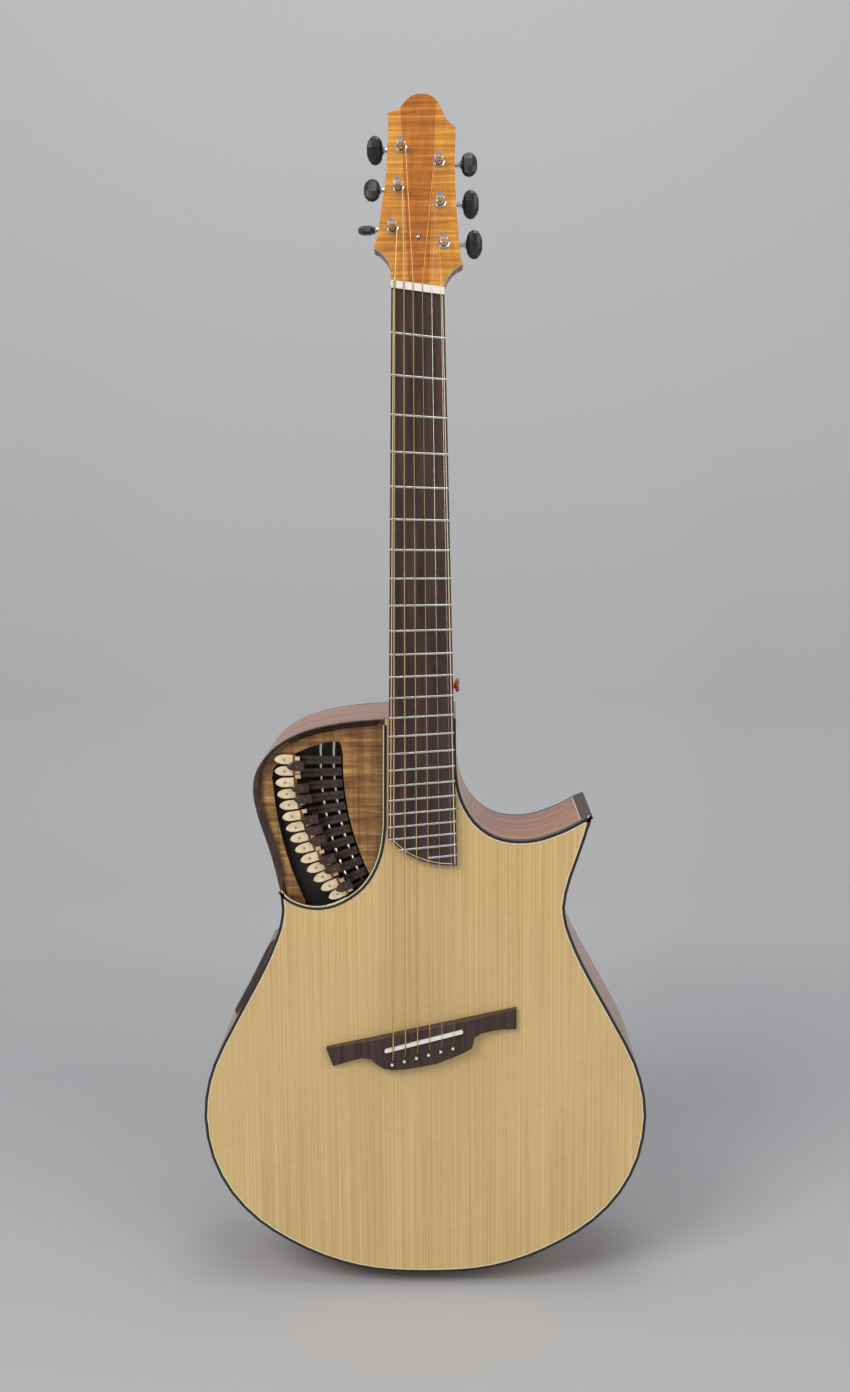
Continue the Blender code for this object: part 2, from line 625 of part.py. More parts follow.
def string_route(number):
    """Points of a string from its pin over the saddle and the nut to its post."""
    share = number / 5
    radius = STRING_RADII[number]
    pin = between(*PIN_ENDS, share)
    over = between(SADDLE_ENDS[0], SADDLE_ENDS[1], 0.5 + (share - 0.5) * 2 * STRING_PIN_HALF / 66.5)
    nut_across = (share - 0.5) * 2 * STRING_NUT_HALF
    nut_up = BASS_NUT + (TREBLE_NUT - BASS_NUT) * (nut_across / NUT_HALF / 2 + 0.5) + NUT_THICKNESS / 2
    post = (LEFT_POSTS[::-1] + RIGHT_POSTS)[number]
    side = 1 if number < 3 else -1
    aside = side * (POST_RADIUS + GAP + radius)
    low = SADDLE_FRONT - GAP - radius
    return [
        on_body(pin[0], pin[1] + 1.5, bridge_front(0, 0) - GAP - radius),
        on_body(over[0], over[1] - 3.2, low + 0.5),
        on_body(over[0], over[1], low),
        on_body(nut_across, nut_up, -8.6 - GAP - radius),
        on_body(nut_across, nut_up + 2.8, -8.4 - GAP - radius),
        on_head(post[0] + aside, post[1], -5.0 - number % 3),
    ]


def make_strings(bronze, steel):
    for number, radius in enumerate(STRING_RADII):
        curve = bpy.data.curves.new(f"string_{number + 1}", "CURVE")
        curve.dimensions = "3D"
        curve.bevel_depth = radius * MM
        curve.bevel_resolution = 1
        curve.use_fill_caps = True
        route = string_route(number)
        spline = curve.splines.new("POLY")
        spline.points.add(len(route) - 1)
        for point, place in zip(spline.points, route):
            point.co = (*place, 1.0)
        curve.materials.append(bronze if number < 4 else steel)
        obj = bpy.data.objects.new(f"string_{6 - number}", curve)
        bpy.context.scene.collection.objects.link(obj)


def make_tuners(chrome, ebony):
    """On each side of the head one plate with three machines: worm with its button, wheel with its post."""
    plate_front, plate_back = CORE_BACK + GAP, CORE_BACK + GAP + 1.5
    behind = head_normal() * -1
    for side, posts, facing in (("bass", LEFT_POSTS, -1), ("treble", RIGHT_POSTS, 1)):
        top, bottom = posts[0], posts[-1]
        outline = [(top[0] - 8.0, top[1] + 13), (top[0] + 8.0, top[1] + 13),
                   (bottom[0] + 8.0, bottom[1] - 9), (bottom[0] - 8.0, bottom[1] - 9)]
        base = plate(f"{side}_tuner_plate", outline, plate_front, plate_back, chrome, on_head)
        for number, (across, along, turn) in enumerate(posts, 1):
            label = f"{side}_{number}"
            centre = on_head(across, along, 0)
            sleeve = turned(f"{label}_sleeve", [(-1.6, 4.6), (-1.2, 5.3), (-0.3, 5.3), (-0.3, 4.4),
                                                (plate_back - 0.4, 4.4)], centre, behind, chrome)
            bore = turned(f"{label}_bore", [(-5, POST_RADIUS + 0.35), (plate_back + 5, POST_RADIUS + 0.35)],
                          centre, behind, chrome)
            lugs = []
            for lug_side in (-1, 1):
                middle = across + lug_side * 5.2
                lugs.append(block(f"{label}_lug_{lug_side}",
                                  (middle - 1.1, along + WORM_OFFSET - 2.4, plate_back - 0.5),
                                  (middle + 1.1, along + WORM_OFFSET + 2.4, WORM_DEPTH + 2.4), chrome, on_head))
            worm = on_head(across, along + WORM_OFFSET, WORM_DEPTH)
            shaft_hole = turned(f"{label}_shaft_hole", [(-12, 1.45), (12, 1.45)], worm, Vector((1, 0, 0)), chrome, 8)
            for lug in lugs:
                boolean(base, lug, "UNION")
            boolean(base, sleeve, "UNION")
            boolean(base, bore, "DIFFERENCE")
            boolean(base, shaft_hole, "DIFFERENCE")
            post = turned(f"{side}_post_{number}", [
                (-POST_TOP, 1.6), (-POST_TOP + 0.8, 2.7), (-11.2, POST_RADIUS), (-10.4, 2.5), (-4.0, 2.5),
                (-3.0, POST_RADIUS), (plate_back + GAP, POST_RADIUS), (plate_back + GAP, WHEEL_RADIUS),
                (plate_back + 4.2, WHEEL_RADIUS), (plate_back + 4.2, 2.2), (plate_back + 5.4, 2.0),
            ], centre, behind, chrome)
            set_origin(post, centre)
            make_button(f"{side}_button_{number}", worm, across, along, facing, turn, ebony)


def make_button(name, worm, across, along, facing, turn, ebony):
    """Worm, shaft and oval button as one turned body, turned about its shaft by the given angle."""
    outward = Vector((facing, 0, 0))
    reach = TREBLE_REACH if facing > 0 else BASS_REACH
    axis_turn = Matrix.Rotation(math.radians(turn) * -facing, 3, outward)
    flat = axis_turn @ Vector((0, math.sin(HEAD_TILT), math.cos(HEAD_TILT)))
    thick = outward.cross(flat)
    shape = [(-7.4, 1.2, 1.2), (-3.7, 1.2, 1.2), (-3.7, WORM_RADIUS, WORM_RADIUS),
             (3.7, WORM_RADIUS, WORM_RADIUS), (3.7, 1.2, 1.2), (8.0, 1.2, 1.2), (8.2, 2.0, 2.0),
             (reach - 1.8, 2.2, 2.2), (reach - 1.0, 3.2, 3.2), (reach, 3.4, 3.0)]
    half_width, half_thick = BUTTON_WIDTH / 2, BUTTON_THICKNESS / 2
    for share, size in ((0.06, 0.62), (0.2, 0.86), (0.45, 1.0), (0.7, 0.93), (0.9, 0.66), (1.0, 0.36)):
        shape.append((reach + BUTTON_LENGTH * share, half_width * size, half_thick * min(1.0, size + 0.1)))
    sections = []
    for out, wide, deep in shape:
        centre = worm + outward * (out * MM)
        turns = [2 * math.pi * i / 10 for i in range(10)]
        sections.append([centre + flat * (wide * math.cos(t) * MM) + thick * (deep * math.sin(t) * MM)
                         for t in turns])
    obj = loft(name, sections, ebony)
    obj.data.shade_smooth()
    obj.data.set_sharp_from_angle(angle=math.radians(40))
    set_origin(obj, worm)


def make_strap_pins(copper):
    heel = on_body(20.7, 531.0, 62.0)
    turned("strap_button", [(0, 6.0), (1.6, 5.6), (3.0, 3.4), (7.6, 3.2), (9.4, 6.2), (11.0, 6.5), (12.2, 5.6)],
           heel, Vector((1, 0, 0)), copper, 16)
    tail = on_body(0.0, -GAP, 60.0)
    turned("end_pin", [(0, 7.0), (2.0, 6.4), (3.4, 4.0), (8.0, 3.8), (9.8, 6.6), (11.4, 7.0), (12.6, 6.0)],
           tail, Vector((0, 0, -1)), copper, 16)


def main():
    clear_scene()
    spruce = finish("spruce", (0.72, 0.52, 0.26), 0.35)
    mahogany = finish("mahogany", (0.36, 0.14, 0.06), 0.35)
    rosewood = finish("rosewood", (0.06, 0.028, 0.02), 0.4)
    koa = finish("figured koa", (0.42, 0.2, 0.05), 0.3)
    bone = finish("bone", (0.84, 0.78, 0.62), 0.4)
    dark = finish("ebony", (0.02, 0.018, 0.018), 0.35)
    steel = finish("steel", (0.6, 0.6, 0.6), 0.3, 1.0)
    chrome = finish("chrome", (0.8, 0.8, 0.8), 0.12, 1.0)
    bronze = finish("bronze", (0.6, 0.36, 0.14), 0.35, 1.0)
    copper = finish("copper", (0.62, 0.3, 0.16), 0.3, 1.0)
    make_body(spruce, mahogany, rosewood)
    make_well(rosewood, koa)
    make_key_frame(steel)
    make_keys(bone, rosewood)
    make_neck(mahogany, koa)
    make_fingerboard(rosewood, bone)
    make_bridge(rosewood, bone)
    make_strings(bronze, steel)
    make_tuners(chrome, dark)
    make_strap_pins(copper)


main()
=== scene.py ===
"""Looks of the guitar with a thumb keyboard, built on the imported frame."""
import json
import math

import bmesh
import bpy
from mathutils import Matrix, Vector


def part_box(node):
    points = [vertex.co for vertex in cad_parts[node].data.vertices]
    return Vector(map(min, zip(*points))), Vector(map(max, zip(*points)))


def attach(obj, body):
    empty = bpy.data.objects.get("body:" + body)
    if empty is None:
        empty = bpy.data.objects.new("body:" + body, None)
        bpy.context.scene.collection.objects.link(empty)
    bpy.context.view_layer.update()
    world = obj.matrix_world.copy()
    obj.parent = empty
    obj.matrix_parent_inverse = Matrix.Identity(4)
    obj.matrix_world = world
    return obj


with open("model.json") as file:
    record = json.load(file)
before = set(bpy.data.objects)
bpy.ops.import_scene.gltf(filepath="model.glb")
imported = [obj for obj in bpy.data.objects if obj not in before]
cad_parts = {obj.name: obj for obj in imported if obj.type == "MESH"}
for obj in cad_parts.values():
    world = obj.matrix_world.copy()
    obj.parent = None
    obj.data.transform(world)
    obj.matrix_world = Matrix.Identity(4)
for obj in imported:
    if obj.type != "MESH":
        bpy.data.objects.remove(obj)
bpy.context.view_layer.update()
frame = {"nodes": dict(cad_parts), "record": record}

MM = 0.001
NUT_UP = 872.0
BODY_TOP = 510.5
TAIL_DEPTH, NECK_DEPTH_LOSS = 122.0, 25.0
HEAD_TILT = math.radians(14.0)
BASS_NUT, TREBLE_NUT = 870.9, 864.8
BOARD_FRONT = -6.3
BASS_SCALE, TREBLE_SCALE = 648.0, 632.0
FAN_ACROSS, FAN_UP = 169.0, 470.0
WHITE_COUNT, WHITE_FIRST, WHITE_PITCH = 14, -1.0, 2.02
DARKS_AFTER = (0, 2, 3, 5, 6, 7, 9, 10, 12)
WHITE_TOP, WHITE_BOTTOM, DARK_TOP = 1.0, 4.6, -5.5
POSTS = {"bass": ((-13.7, 118.0), (-16.2, 83.2), (-21.0, 48.2)),
         "treble": ((17.6, 104.8), (18.7, 69.9), (21.4, 35.0))}
WIRE_RADII = {"bass": (0.4, 0.53, 0.67), "treble": (0.3, 0.21, 0.15)}
BUTTON_REACH = {"bass": 15.9, "treble": 18.9}
PHOTO_FOCUS, PHOTO_HEIGHT = 1546.0, 1392.0  # in pixels of the photograph


def on_body(across, up, depth):
    return Vector((across * MM, depth * MM, (up - NUT_UP) * MM))


def on_head(across, along, depth):
    up = 874.0 + along * math.cos(HEAD_TILT) - depth * math.sin(HEAD_TILT)
    return on_body(across, up, -3.0 + along * math.sin(HEAD_TILT) + depth * math.cos(HEAD_TILT))


def on_fan(degrees, radius, depth):
    turn = math.radians(degrees)
    return on_body(FAN_ACROSS - radius * math.cos(turn), FAN_UP - radius * math.sin(turn), depth)


def board_half(up):
    return 21.9 + (NUT_UP - up) * 0.0166


class Wire:
    """A socket of a material: sums, products and comparisons of wires add Math nodes."""

    def __init__(self, shade, socket):
        self.shade = shade
        self.socket = socket

    def math(self, operation, *values):
        return self.shade.node("ShaderNodeMath", {"operation": operation}, dict(enumerate(values)))

    def __add__(self, other):
        return self.math("ADD", self, other)

    def __sub__(self, other):
        return self.math("SUBTRACT", self, other)

    def __rsub__(self, other):
        return self.math("SUBTRACT", other, self)

    def __mul__(self, other):
        return self.math("MULTIPLY", self, other)

    def __lt__(self, other):
        return self.math("LESS_THAN", self, other)

    def __gt__(self, other):
        return self.math("GREATER_THAN", self, other)

    __radd__ = __add__
    __rmul__ = __mul__


class Shade:
    """One material. Places are in millimetres of the part's own frame: x across, y back, z up."""

    def __init__(self, name, roughness=0.4, metallic=0.0, coat=0.0):
        self.made = bpy.data.materials.new(name)
        self.made.use_nodes = True
        self.tree = self.made.node_tree
        self.shader = self.tree.nodes["Principled BSDF"]
        self.set("Roughness", roughness)
        self.set("Metallic", metallic)
        self.set("Coat Weight", coat)
        self.set("Coat Roughness", 0.08)
        self.place = self.node("ShaderNodeTexCoord", {}, {}, "Object")
        apart = [self.node("ShaderNodeSeparateXYZ", {}, {0: self.place}, axis) for axis in "XYZ"]
        self.x, self.y, self.z = (part * 1000.0 for part in apart)

    def node(self, kind, settings, inputs, output=0):
        """Adds a node: its settings are set first, then the values or wires of its inputs."""
        made = self.tree.nodes.new(kind)
        for key, value in settings.items():
            if key == "stops":
                elements = made.color_ramp.elements
                while len(elements) < len(value):
                    elements.new(0.5)
                for element, (where, colour) in zip(elements, value):
                    element.position = where
                    element.color = (*colour, 1.0)
            else:
                setattr(made, key, value)
        for key, value in inputs.items():
            if isinstance(value, Wire):
                self.tree.links.new(value.socket, made.inputs[key])
            else:
                made.inputs[key].default_value = value
        return Wire(self, made.outputs[output])

    def set(self, name, value):
        if isinstance(value, Wire):
            self.tree.links.new(value.socket, self.shader.inputs[name])
        else:
            self.shader.inputs[name].default_value = value
        return self

    def facing(self, direction):
        """How much the surface faces a direction, or a wire's vector."""
        normal = self.node("ShaderNodeTexCoord", {}, {}, "Normal")
        return self.node("ShaderNodeVectorMath", {"operation": "DOT_PRODUCT"}, {0: normal, 1: direction}, "Value")

    def noise(self, scale, detail=4.0, roughness=0.5, distortion=0.0):
        """Noise whose cells per metre are given for each axis."""
        place = self.node("ShaderNodeMapping", {}, {"Vector": self.place, "Scale": scale})
        return self.node("ShaderNodeTexNoise", {}, {
            "Vector": place, "Scale": 1.0, "Detail": detail, "Roughness": roughness, "Distortion": distortion})

    def ramp(self, value, *stops):
        return self.node("ShaderNodeValToRGB", {"stops": stops}, {"Fac": value}, "Color")

    def mix(self, a, b, share, how="MIX"):
        """Colour a with b laid over it. A colour is a wire or three numbers."""
        colours = [(*c, 1.0) if isinstance(c, tuple) else c for c in (a, b)]
        return self.node("ShaderNodeMix", {"data_type": "RGBA", "blend_type": how},
                         {0: share, 6: colours[0], 7: colours[1]}, 2)

    def colour(self, value):
        return self.set("Base Color", value)

    def bump(self, height, strength, distance=0.0002):
        return self.set("Normal", self.node("ShaderNodeBump", {}, {
            "Height": height, "Strength": strength, "Distance": distance}))


BLACK_LINE = (0.014, 0.012, 0.012)
CREAM_LINE = (0.78, 0.66, 0.42)


def edged(shade, colour, line=BLACK_LINE):
    """The colour, with the binding's on faces that look sideways."""
    front = shade.facing((0.0, 1.0, 0.0))
    return shade.mix(colour, line, front * front < 0.25)


def make_spruce():
    shade = Shade("spruce", 0.3, coat=0.35)
    rings = shade.noise((900, 900, 3.0), 2.0)
    lines = shade.ramp(rings, (0.36, (0.60, 0.415, 0.17)), (0.62, (0.745, 0.55, 0.255)))
    clouds = shade.ramp(shade.noise((9, 9, 4), 3.0), (0.3, (0.9, 0.88, 0.84)), (0.7, (1.0, 1.0, 1.0)))
    silk = shade.ramp(shade.noise((70, 70, 800), 2.0), (0.35, (0.93, 0.92, 0.9)), (0.6, (1.0, 1.0, 1.0)))
    wood = shade.mix(shade.mix(lines, clouds, 1.0, "MULTIPLY"), silk, 0.8, "MULTIPLY")
    return shade.colour(edged(shade, wood)).bump(rings, 0.05).made


def streaked(shade, dark, pale, scale):
    """Wood with streaks and pores along its grain."""
    streaks = shade.ramp(shade.noise(scale, 5.0, 0.6), (0.34, dark), (0.66, pale))
    pore_scale = tuple(s * 6 for s in scale)
    pores = shade.ramp(shade.noise(pore_scale, 2.0), (0.4, (0.66, 0.62, 0.6)), (0.55, (1.0, 1.0, 1.0)))
    return shade.mix(streaks, pores, 0.6, "MULTIPLY")


def make_streaked(name, dark, pale, roughness, coat, scale=(160, 160, 5)):
    shade = Shade(name, roughness, coat=coat)
    return shade.colour(streaked(shade, dark, pale, scale)).made


def make_sides():
    """The rim: grain that runs round it, and a dark line along both its edges."""
    shade = Shade("mahogany sides", 0.3, coat=0.3)
    wood = streaked(shade, (0.27, 0.095, 0.04), (0.55, 0.245, 0.11), (5, 150, 5))
    back = TAIL_DEPTH - (shade.z + NUT_UP) * (NECK_DEPTH_LOSS / BODY_TOP)
    return shade.colour(shade.mix(wood, BLACK_LINE, (shade.y < 5.6) + (shade.y > back - 5.0))).made


def make_back():
    shade = Shade("mahogany back", 0.28, coat=0.4)
    wood = streaked(shade, (0.19, 0.06, 0.024), (0.38, 0.15, 0.06), (130, 130, 4))
    seam = (shade.x * shade.x < 1.0)
    return shade.colour(edged(shade, shade.mix(wood, BLACK_LINE, seam))).made


def flamed(shade, low, middle, high, flame_scale, streak):
    """Figured wood: a flame across the grain and streaks along it."""
    flame = shade.ramp(shade.noise(flame_scale, 3.0, 0.55, 0.6), (0.3, low), (0.52, middle), (0.72, high))
    streaks = shade.ramp(shade.noise((210, 210, 7), 4.0), (0.36, (0.55, 0.5, 0.45)), (0.6, (1.0, 1.0, 1.0)))
    return shade.mix(flame, streaks, streak, "MULTIPLY")


def make_panel():
    shade = Shade("figured panel", 0.25, coat=0.5)
    return shade.colour(flamed(shade, (0.17, 0.065, 0.016), (0.36, 0.175, 0.05), (0.58, 0.33, 0.115),
                               (22, 60, 210), 0.9)).made


def make_head_face():
    """Amber figured wood with a darker middle strip, and a cream line round its edge."""
    shade = Shade("figured head face", 0.2, coat=0.6)
    wood = flamed(shade, (0.40, 0.13, 0.012), (0.62, 0.26, 0.035), (0.84, 0.44, 0.085), (10, 30, 300), 0.35)
    half = 8.0 + 0.045 * shade.z
    strip = (shade.x - 0.7 < half) * (0.7 - shade.x < half)
    wood = shade.mix(wood, (0.74, 0.56, 0.42), strip, "MULTIPLY")
    out = shade.facing((0.0, -math.cos(HEAD_TILT), math.sin(HEAD_TILT)))
    return shade.colour(shade.mix(wood, CREAM_LINE, out * out < 0.25)).made


def make_plain(name, colour, roughness, metallic=0.0, coat=0.0, wear=0.12):
    shade = Shade(name, roughness, metallic, coat)
    low = tuple(c * (1 - wear) for c in colour)
    return shade.colour(shade.ramp(shade.noise((90, 90, 90), 4.0), (0.35, low), (0.65, colour))).made


def make_wound():
    shade = Shade("wound wire", 0.3, 1.0)
    turns_and_groove_shade = shade.node("ShaderNodeTexWave", {"bands_direction": "Z"}, {"Vector": shade.place, "Scale": 900.0}, "Fac")
    # the darker bands are painted shade in the grooves between turns; the same wave also drives the bump
    return shade.colour(shade.ramp(turns_and_groove_shade, (0.2, (0.42, 0.24, 0.09)), (0.7, (0.85, 0.6, 0.32)))).bump(turns_and_groove_shade, 0.4).made


def make_white_key():
    """An ivory cap on a dark lever, with painted light: orange-brown on the cap's faces turned toward the fan's
    middle.
    """
    shade = Shade("ivory key", 0.35, coat=0.2)
    mottle = shade.noise((160, 160, 160), 4.0)
    ivory = shade.ramp(mottle, (0.35, (0.70, 0.56, 0.34)), (0.6, (0.84, 0.71, 0.47)))
    middle = shade.node("ShaderNodeVectorMath", {"operation": "SUBTRACT"},
                        {0: tuple(on_body(FAN_ACROSS, FAN_UP, 0.0)), 1: shade.place}, "Vector")
    inward = shade.node("ShaderNodeVectorMath", {"operation": "NORMALIZE"}, {0: middle}, "Vector")
    # painted light: faces turned toward the fan's middle are coloured orange-brown for light caught there, not for
    # the bone
    cap = shade.mix(ivory, (0.40, 0.13, 0.03), shade.facing(inward) > 0.35)
    lever = shade.ramp(mottle, (0.4, (0.02, 0.012, 0.008)), (0.6, (0.045, 0.026, 0.018)))
    return shade.colour(shade.mix(cap, lever, shade.y > WHITE_BOTTOM + 0.1)).made


def make_button_finish(side, number):
    """Black wood, with a bright collar on the stretch of shaft next to the head."""
    facing = 1 if side == "treble" else -1
    across = POSTS[side][number - 1][0]
    shade = Shade(f"{side} button {number}", 0.3)
    on_shaft = shade.x * facing < across * facing + BUTTON_REACH[side] - 0.6
    wood = shade.ramp(shade.noise((300, 60, 60), 3.0), (0.4, (0.012, 0.011, 0.011)), (0.62, (0.03, 0.026, 0.024)))
    shade.colour(shade.mix(wood, (0.8, 0.8, 0.8), on_shaft))
    return shade.set("Metallic", on_shaft * 1.0).set("Roughness", 0.32 - on_shaft * 0.2).made


SPRUCE = make_spruce()
SIDES = make_sides()
BACK = make_back()
NECK = make_streaked("mahogany neck", (0.20, 0.065, 0.028), (0.40, 0.155, 0.068), 0.32, 0.2)
ROSEWOOD = make_streaked("rosewood", (0.022, 0.011, 0.008), (0.075, 0.036, 0.026), 0.4, 0.1, (240, 240, 9))
BEZEL = make_streaked("polished rosewood", (0.02, 0.009, 0.006), (0.085, 0.036, 0.02), 0.15, 0.9, (90, 240, 60))
# a real part, but its near-black colour is partly painted shade: it stands for the shade deep in the key well
BED_AND_WELL_SHADE = make_plain("dark bed", (0.014, 0.010, 0.008), 0.55)
EBONY = make_plain("ebony", (0.03, 0.026, 0.026), 0.22, coat=0.4)
BINDING = make_plain("black binding", BLACK_LINE, 0.25, coat=0.4)
CREAM = make_plain("cream line", CREAM_LINE, 0.35, wear=0.05)
NUT_WHITE = make_plain("nut white", (0.84, 0.81, 0.74), 0.3, wear=0.05)
STEEL = make_plain("steel", (0.72, 0.72, 0.72), 0.25, 1.0)
CHROME = make_plain("chrome", (0.86, 0.86, 0.86), 0.09, 1.0, wear=0.03)
PLAIN_WIRE = make_plain("plain wire", (0.78, 0.74, 0.68), 0.22, 1.0)
COPPER = make_plain("copper", (0.72, 0.36, 0.2), 0.24, 1.0)
PEARL = make_plain("pearl", (0.84, 0.84, 0.8), 0.2, coat=0.6)
# brown for the shade inside a dimple: painted shade, not the bone's colour
DIMPLE_SHADE = make_plain("painted dimple shade", (0.46, 0.31, 0.16), 0.4)
DARK_DOT = make_plain("key dot", (0.16, 0.11, 0.09), 0.3)
WOUND = make_wound()
WHITE_KEY = make_white_key()
BY_NODE = {
    "soundboard": SPRUCE, "braces": SPRUCE, "rim": SIDES, "back": BACK, "neck": NECK,
    "head_plate": make_head_face(), "key_panel": make_panel(), "well_bezel": BEZEL, "side_plate": BEZEL,
    "key_bed": BED_AND_WELL_SHADE, "nut": NUT_WHITE, "saddle": NUT_WHITE,
}
BY_SLOT = {
    "rosewood": ROSEWOOD, "bone": WHITE_KEY, "steel": STEEL, "chrome": CHROME, "wound_wire": WOUND,
    "plain_wire": PLAIN_WIRE, "copper": COPPER,
}


def dress_nodes():
    for part in frame["record"]["subparts"]:
        name, slot = part["node"], part["material_slot"]
        if "_button_" in name:
            side, _, number = name.split("_")
            chosen = make_button_finish(side, int(number))
        else:
            chosen = BY_NODE[name] if name in BY_NODE else BY_SLOT[slot]
        for place in frame["nodes"][name].material_slots:
            place.material = chosen


def make_piece(name, maker, material, body="guitar", smooth_angle=None):
    bmesh.ops.recalc_face_normals(maker, faces=maker.faces[:])
    mesh = bpy.data.meshes.new(name)
    maker.to_mesh(mesh)
    maker.free()
    mesh.materials.append(material)
    if smooth_angle:
        mesh.shade_smooth()
        mesh.set_sharp_from_angle(angle=math.radians(smooth_angle))
    piece = bpy.data.objects.new(name, mesh)
    bpy.context.scene.collection.objects.link(piece)
    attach(piece, body)
    return piece


def add_tube(maker, path, radius, sides=8, closed=False):
    """A tube along points, capped unless it closes on itself."""
    rings = []
    count = len(path)
    for i, point in enumerate(path):
        before = path[i - 1] if closed or i else path[i]
        after = path[(i + 1) % count] if closed or i < count - 1 else path[i]
        along = (after - before).normalized()
        aside = along.cross(Vector((0.13, -0.97, 0.21))).normalized()
        other = along.cross(aside)
        rings.append([maker.verts.new(point + (aside * math.cos(t) + other * math.sin(t)) * radius)
                      for t in (2 * math.pi * k / sides for k in range(sides))])
    pairs = list(zip(rings, rings[1:] + rings[:1])) if closed else list(zip(rings, rings[1:]))
    for a, b in pairs:
        for k in range(sides):
            maker.faces.new((a[k], a[(k + 1) % sides], b[(k + 1) % sides], b[k]))
    if not closed:
        maker.faces.new(rings[0])
        maker.faces.new(list(reversed(rings[-1])))


def add_turned(maker, profile, start, axis, sides=16):
    """A solid turned round an axis from pairs of distance along it and radius, in millimetres."""
    aside = axis.orthogonal().normalized()
    other = axis.cross(aside)
    rings = []
    for along, radius in profile:
        centre = start + axis * (along * MM)
        rings.append([maker.verts.new(centre + (aside * math.cos(t) + other * math.sin(t)) * (radius * MM))
                      for t in (2 * math.pi * k / sides for k in range(sides))])
    for a, b in zip(rings, rings[1:]):
        for k in range(sides):
            maker.faces.new((a[k], a[(k + 1) % sides], b[(k + 1) % sides], b[k]))
    maker.faces.new(rings[0])
    maker.faces.new(list(reversed(rings[-1])))


def smooth(points, steps):
    ends = [points[0]] + list(points) + [points[-1]]
    curve = []
    for a, b, c, d in zip(ends, ends[1:], ends[2:], ends[3:]):
        for step in range(steps):
            t = step / steps
            curve.append(tuple(0.5 * (2 * q + (r - p) * t + (2 * p - 5 * q + 4 * r - s) * t**2
                                      + (3 * q - p - 3 * r + s) * t**3) for p, q, r, s in zip(a, b, c, d)))
    curve.append(tuple(points[-1]))
    return curve


def make_frets():
    maker = bmesh.new()
    for number in range(1, 25):
        share = 1 - 2 ** (-number / 12)
        bass, treble = BASS_NUT + 0.6 - BASS_SCALE * share, TREBLE_NUT + 0.6 - TREBLE_SCALE * share
        left, right = -board_half(bass) + 0.3, board_half(treble) - 0.3
        if number > 22:
            left = {23: -20.5, 24: 5.0}[number]
            whole = board_half(bass) + board_half(treble)
            bass += (treble - bass) * (left + board_half(bass)) / whole
        ends = [on_body(left, bass, BOARD_FRONT + 0.1), on_body(right, treble, BOARD_FRONT + 0.1)]
        add_tube(maker, ends, 1.05 * MM, 10)
    make_piece("frets", maker, STEEL, smooth_angle=50)


def make_pins():
    black, dots = bmesh.new(), bmesh.new()
    out = Vector((0, -1, 0))
    for i in range(6):
        share = i / 5
        spot = (-28.4 + 53.8 * share, 203.4 + 14.9 * share)
        start = on_body(spot[0], spot[1] - 1.2, -8.4)
        add_turned(black, [(0, 2.6), (0.5, 2.8), (1.3, 2.7), (2.0, 2.1), (2.3, 1.4)], start, out)
        add_turned(dots, [(2.2, 1.25), (2.42, 1.2), (2.5, 0.7)], start, out)
    make_piece("bridge_pins", black, EBONY, smooth_angle=40)
    make_piece("pin_dots", dots, PEARL, smooth_angle=40)


def add_ribbon(maker, path, low, high, front, back, closed=False):
    """A strip beside a path of the body: between two insets, and between two depths."""
    sections = []
    for i, point in enumerate(path):
        before = path[max(i - 1, 0)]
        after = path[min(i + 1, len(path) - 1)]
        along = Vector((after[0] - before[0], after[1] - before[1])).normalized()
        normal = Vector((-along.y, along.x))
        corner = [Vector(point) + normal * low, Vector(point) + normal * high]
        sections.append([maker.verts.new(on_body(c.x, c.y, depth))
                         for c, depth in ((corner[0], front), (corner[1], front), (corner[1], back), (corner[0], back))])
    for a, b in zip(sections, sections[1:]):
        for k in range(4):
            maker.faces.new((a[k], a[(k + 1) % 4], b[(k + 1) % 4], b[k]))
    maker.faces.new(sections[0])
    maker.faces.new(list(reversed(sections[-1])))


LOWER = [(0, 0), (31, 0.9), (61, 5.2), (92, 14.8), (123, 30), (152, 50), (176, 77), (192, 110.5),
         (198, 149), (193.2, 184), (180, 217), (149, 274.5), (135.5, 302), (126.5, 326), (124.2, 342)]
FLANK = [(124.2, 342), (126, 355), (130.2, 370.5), (136, 387), (142, 405), (147.5, 424)]
CUTAWAY = [(147.5, 424), (138, 420), (125.8, 413.4), (110, 407), (97.4, 403.6), (83.8, 402.6), (70, 404.4),
           (57.4, 409.8), (46, 419.6), (37.6, 432.8), (32.6, 446.8), (30.2, 463), (29.6, 485), (29.6, 510.5)]
SCOOP = [(-125.4, 358), (-121.5, 352.8), (-115.1, 348.2), (-104.3, 344), (-90.9, 342.6), (-77.4, 345.3),
         (-63.9, 352.2), (-53, 361.1), (-44.8, 372.1), (-38.6, 385.9), (-35.1, 399.6), (-33.1, 416)]


BOARD_END = [(-15.3, 393.7), (-4.8, 388.2), (4.5, 385), (14.8, 382.8)]


